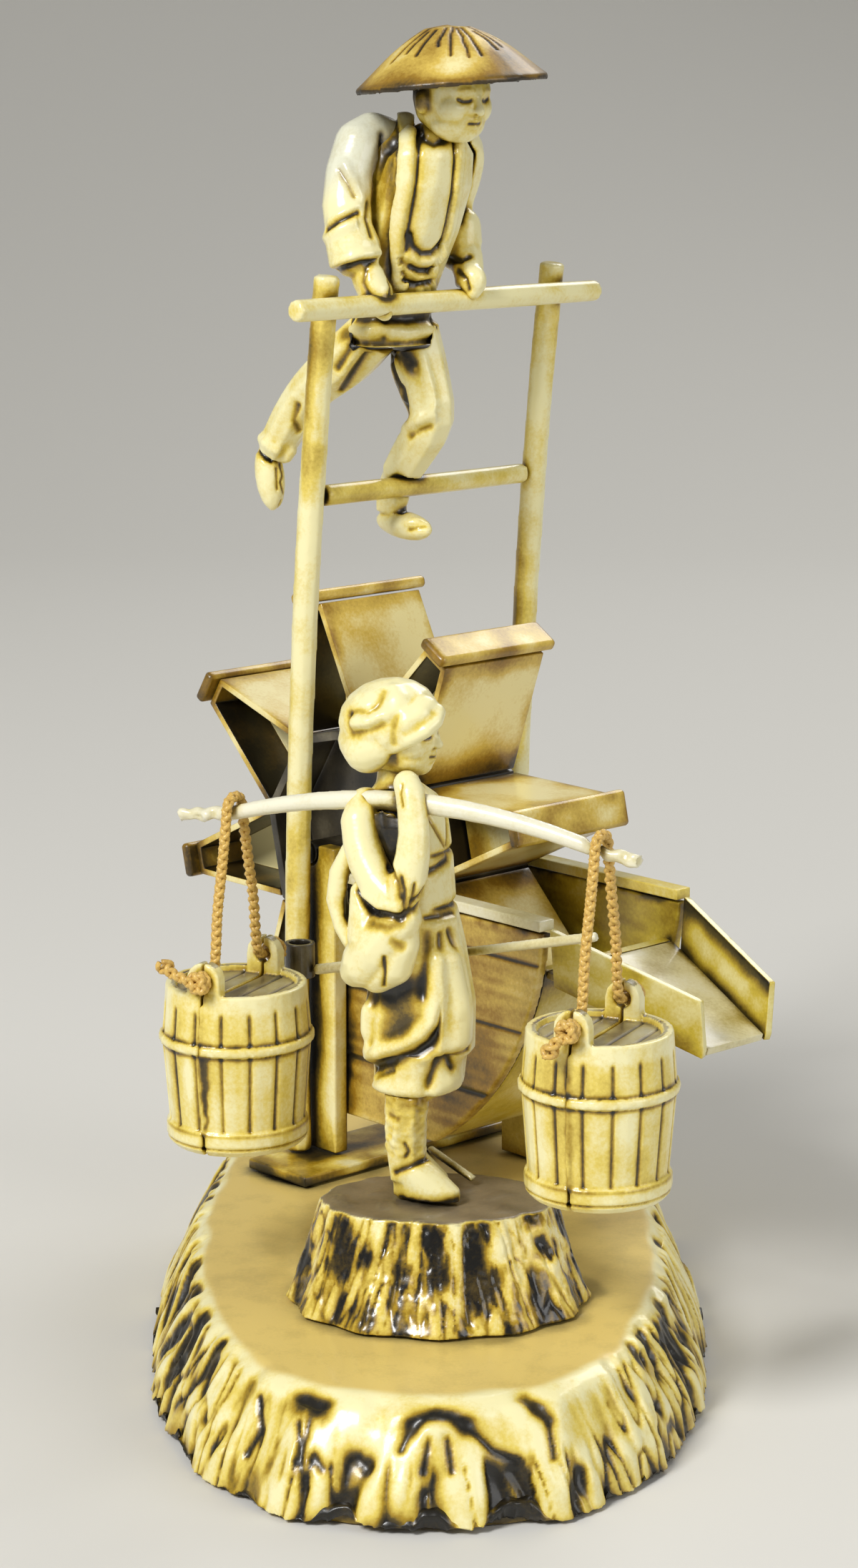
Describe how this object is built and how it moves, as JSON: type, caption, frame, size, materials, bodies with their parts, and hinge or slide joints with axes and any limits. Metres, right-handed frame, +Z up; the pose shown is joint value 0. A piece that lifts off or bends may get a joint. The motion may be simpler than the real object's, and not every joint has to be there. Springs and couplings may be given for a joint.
{
  "type": "celluloid diorama",
  "caption": "Ivory plastic desk diorama: a figure treads a turning paddle wheel with casing and spout, and a water carrier on a stump holds a pole with swinging lidded buckets.",
  "frame": {"origin": "middle of the underside of the oval base", "axes": "+Z up, +X to the right of the side that the water carrier stands on, +Y away from that side along the base's long axis"},
  "size_m": [0.0797, 0.1383, 0.1644],
  "materials": {
    "ivory": "moulded ivory celluloid, antiqued with amber and dark brown stain",
    "pale_ivory": "pale ivory celluloid with little stain",
    "amber": "folded celluloid sheet, amber-brown stain",
    "ochre": "bent ochre-yellow celluloid sheet",
    "tan": "flat tan celluloid sheet with scribed plank lines",
    "bark": "bark relief with black-brown stain in the grooves",
    "smoke": "dark grey stained celluloid",
    "cord": "gold-brown braided cord"
  },
  "bodies": {
    "diorama": {"base_shell": "ivory", "near_post": "ivory", "far_post": "ivory", "handrail": "ivory", "lower_rail": "ivory", "near_bearing_upright": "ivory", "far_bearing_upright": "ivory", "near_panel_rail": "ivory", "far_panel_rail": "ivory", "treader_head": "ivory", "treader_jacket": "ivory", "treader_right_leg": "ivory", "treader_left_leg": "ivory", "carrier_head": "ivory", "carrier_kimono": "ivory", "carrier_right_arm": "ivory", "carrier_left_arm": "ivory", "carrier_legs": "ivory", "stump_peg": "pale_ivory", "treader_right_arm": "pale_ivory", "treader_left_arm": "pale_ivory", "carrier_head_cloth": "pale_ivory", "shoulder_pole": "pale_ivory", "ladle_handle": "pale_ivory", "treader_hat": "amber", "casing_bed": "ochre", "chute_floor": "ochre", "chute_near_wall": "ochre", "chute_far_wall": "ochre", "base_plate": "tan", "mill_sill": "tan", "near_side_panel": "tan", "far_side_panel": "tan", "casing_foot": "tan", "stump": "bark", "ladle_cup": "smoke"},
    "water_wheel": {"axle": "pale_ivory", "hub_drum": "smoke", "paddle_1": "amber", "paddle_2": "amber", "paddle_3": "amber", "paddle_4": "amber", "paddle_5": "amber", "paddle_6": "amber", "paddle_7": "amber", "paddle_8": "amber", "paddle_cap_1": "amber", "paddle_cap_2": "amber", "paddle_cap_3": "amber", "paddle_cap_4": "amber", "paddle_cap_5": "amber", "paddle_cap_6": "amber", "paddle_cap_7": "amber", "paddle_cap_8": "amber"},
    "left_rope": {"left_rope": "cord"},
    "right_rope": {"right_rope": "cord"},
    "left_bucket": {"left_bucket_left_half": "ivory", "left_bucket_right_half": "ivory"},
    "right_bucket": {"right_bucket_left_half": "ivory", "right_bucket_right_half": "ivory"}
  },
  "joints": [
    {"name": "wheel_turn", "type": "hinge", "parent": "diorama", "child": "water_wheel", "pos_m": [-0.00441, 0.038, 0.056], "axis": [0.7314, 0.682, 0], "continuous": true},
    {"name": "left_rope_swing", "type": "hinge", "parent": "diorama", "child": "left_rope", "pos_m": [-0.02339, -0.01905, 0.0715], "axis": [0.8984, -0.4392, 0], "range_deg": [-10, 3]},
    {"name": "right_rope_swing", "type": "hinge", "parent": "diorama", "child": "right_rope", "pos_m": [0.01973, -0.04013, 0.0715], "axis": [0.8984, -0.4392, 0], "range_deg": [-10, 8]},
    {"name": "left_bucket_tilt", "type": "hinge", "parent": "left_rope", "child": "left_bucket", "pos_m": [-0.02339, -0.01905, 0.0525], "axis": [0.4392, 0.8984, 0], "range_deg": [-8, 8]},
    {"name": "right_bucket_tilt", "type": "hinge", "parent": "right_rope", "child": "right_bucket", "pos_m": [0.01973, -0.04013, 0.0525], "axis": [0.4392, 0.8984, 0], "range_deg": [-8, 8]}
  ]
}
